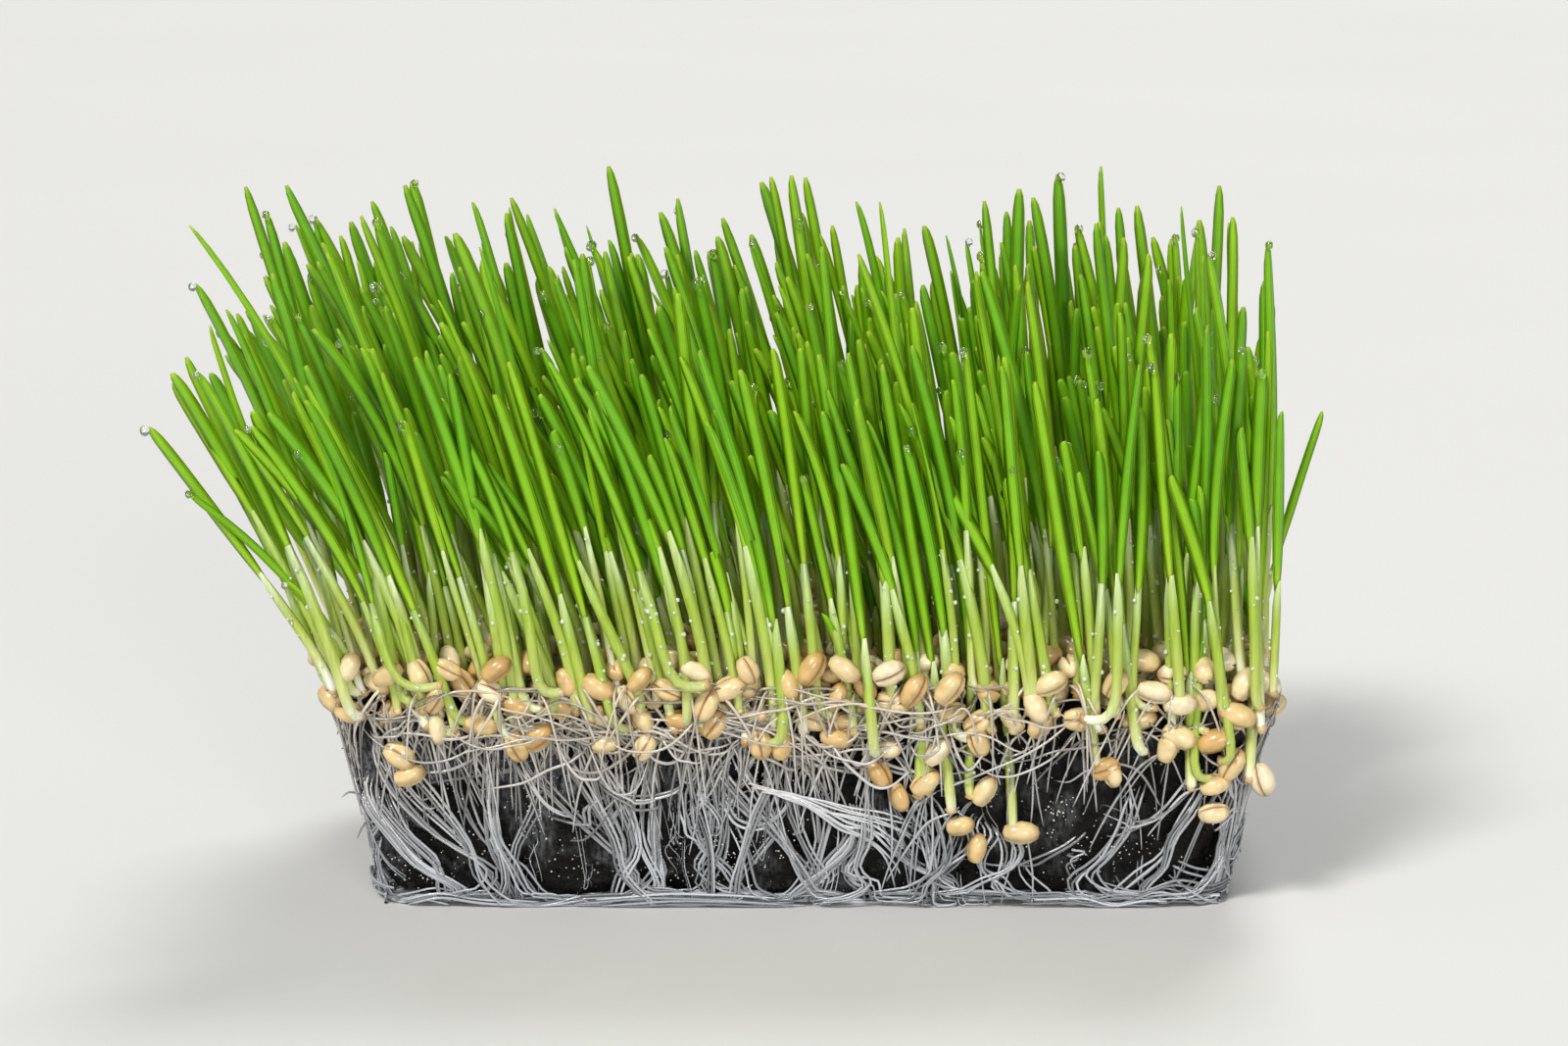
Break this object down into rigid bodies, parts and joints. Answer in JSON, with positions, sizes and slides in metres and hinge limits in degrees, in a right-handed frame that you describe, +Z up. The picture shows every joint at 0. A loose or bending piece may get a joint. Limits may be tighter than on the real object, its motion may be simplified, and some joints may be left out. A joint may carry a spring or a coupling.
{
  "type": "wheatgrass block",
  "caption": "Tray-shaped block of sprouted wheat: dark growing medium wrapped in a white root felt, a bed of kernels on top and leaning tufts of green shoots.",
  "frame": {"origin": "middle of the flat underside of the root felt", "axes": "+Z up through the shoots, +X along the block's length to the right, +Y to the back"},
  "size_m": [0.2331, 0.1205, 0.1471],
  "materials": {
    "growing_medium": "wet, crumbly, near black",
    "roots": "moist off-white root felt",
    "kernels": "satin golden tan seed coat",
    "shoots": "satin fresh green leaf over pale sheath"
  },
  "bodies": {
    "root": {"growing_medium": "growing_medium", "root_mat": "roots", "kernel_bed": "kernels", "slipped_kernel_1": "kernels", "slipped_kernel_2": "kernels", "slipped_kernel_3": "kernels", "slipped_kernel_4": "kernels", "slipped_kernel_5": "kernels", "slipped_kernel_6": "kernels", "tuft_01": "shoots", "tuft_02": "shoots", "tuft_03": "shoots", "tuft_04": "shoots", "tuft_05": "shoots", "tuft_06": "shoots", "tuft_07": "shoots", "tuft_08": "shoots", "tuft_09": "shoots", "tuft_10": "shoots", "tuft_11": "shoots", "tuft_12": "shoots", "tuft_13": "shoots", "tuft_14": "shoots", "tuft_15": "shoots", "tuft_16": "shoots", "tuft_17": "shoots", "tuft_18": "shoots", "tuft_19": "shoots", "tuft_20": "shoots", "tuft_21": "shoots", "tuft_22": "shoots", "tuft_23": "shoots", "tuft_24": "shoots", "tuft_25": "shoots", "tuft_26": "shoots", "tuft_27": "shoots", "tuft_28": "shoots", "tuft_29": "shoots", "tuft_30": "shoots", "tuft_31": "shoots", "tuft_32": "shoots", "tuft_33": "shoots", "tuft_34": "shoots", "tuft_35": "shoots", "tuft_36": "shoots", "tuft_37": "shoots", "tuft_38": "shoots", "tuft_39": "shoots", "tuft_40": "shoots", "tuft_41": "shoots", "tuft_42": "shoots", "tuft_43": "shoots", "tuft_44": "shoots", "tuft_45": "shoots", "tuft_46": "shoots", "tuft_47": "shoots", "tuft_48": "shoots", "tuft_49": "shoots", "tuft_50": "shoots", "outer_shoot": "shoots"}
  },
  "joints": []
}
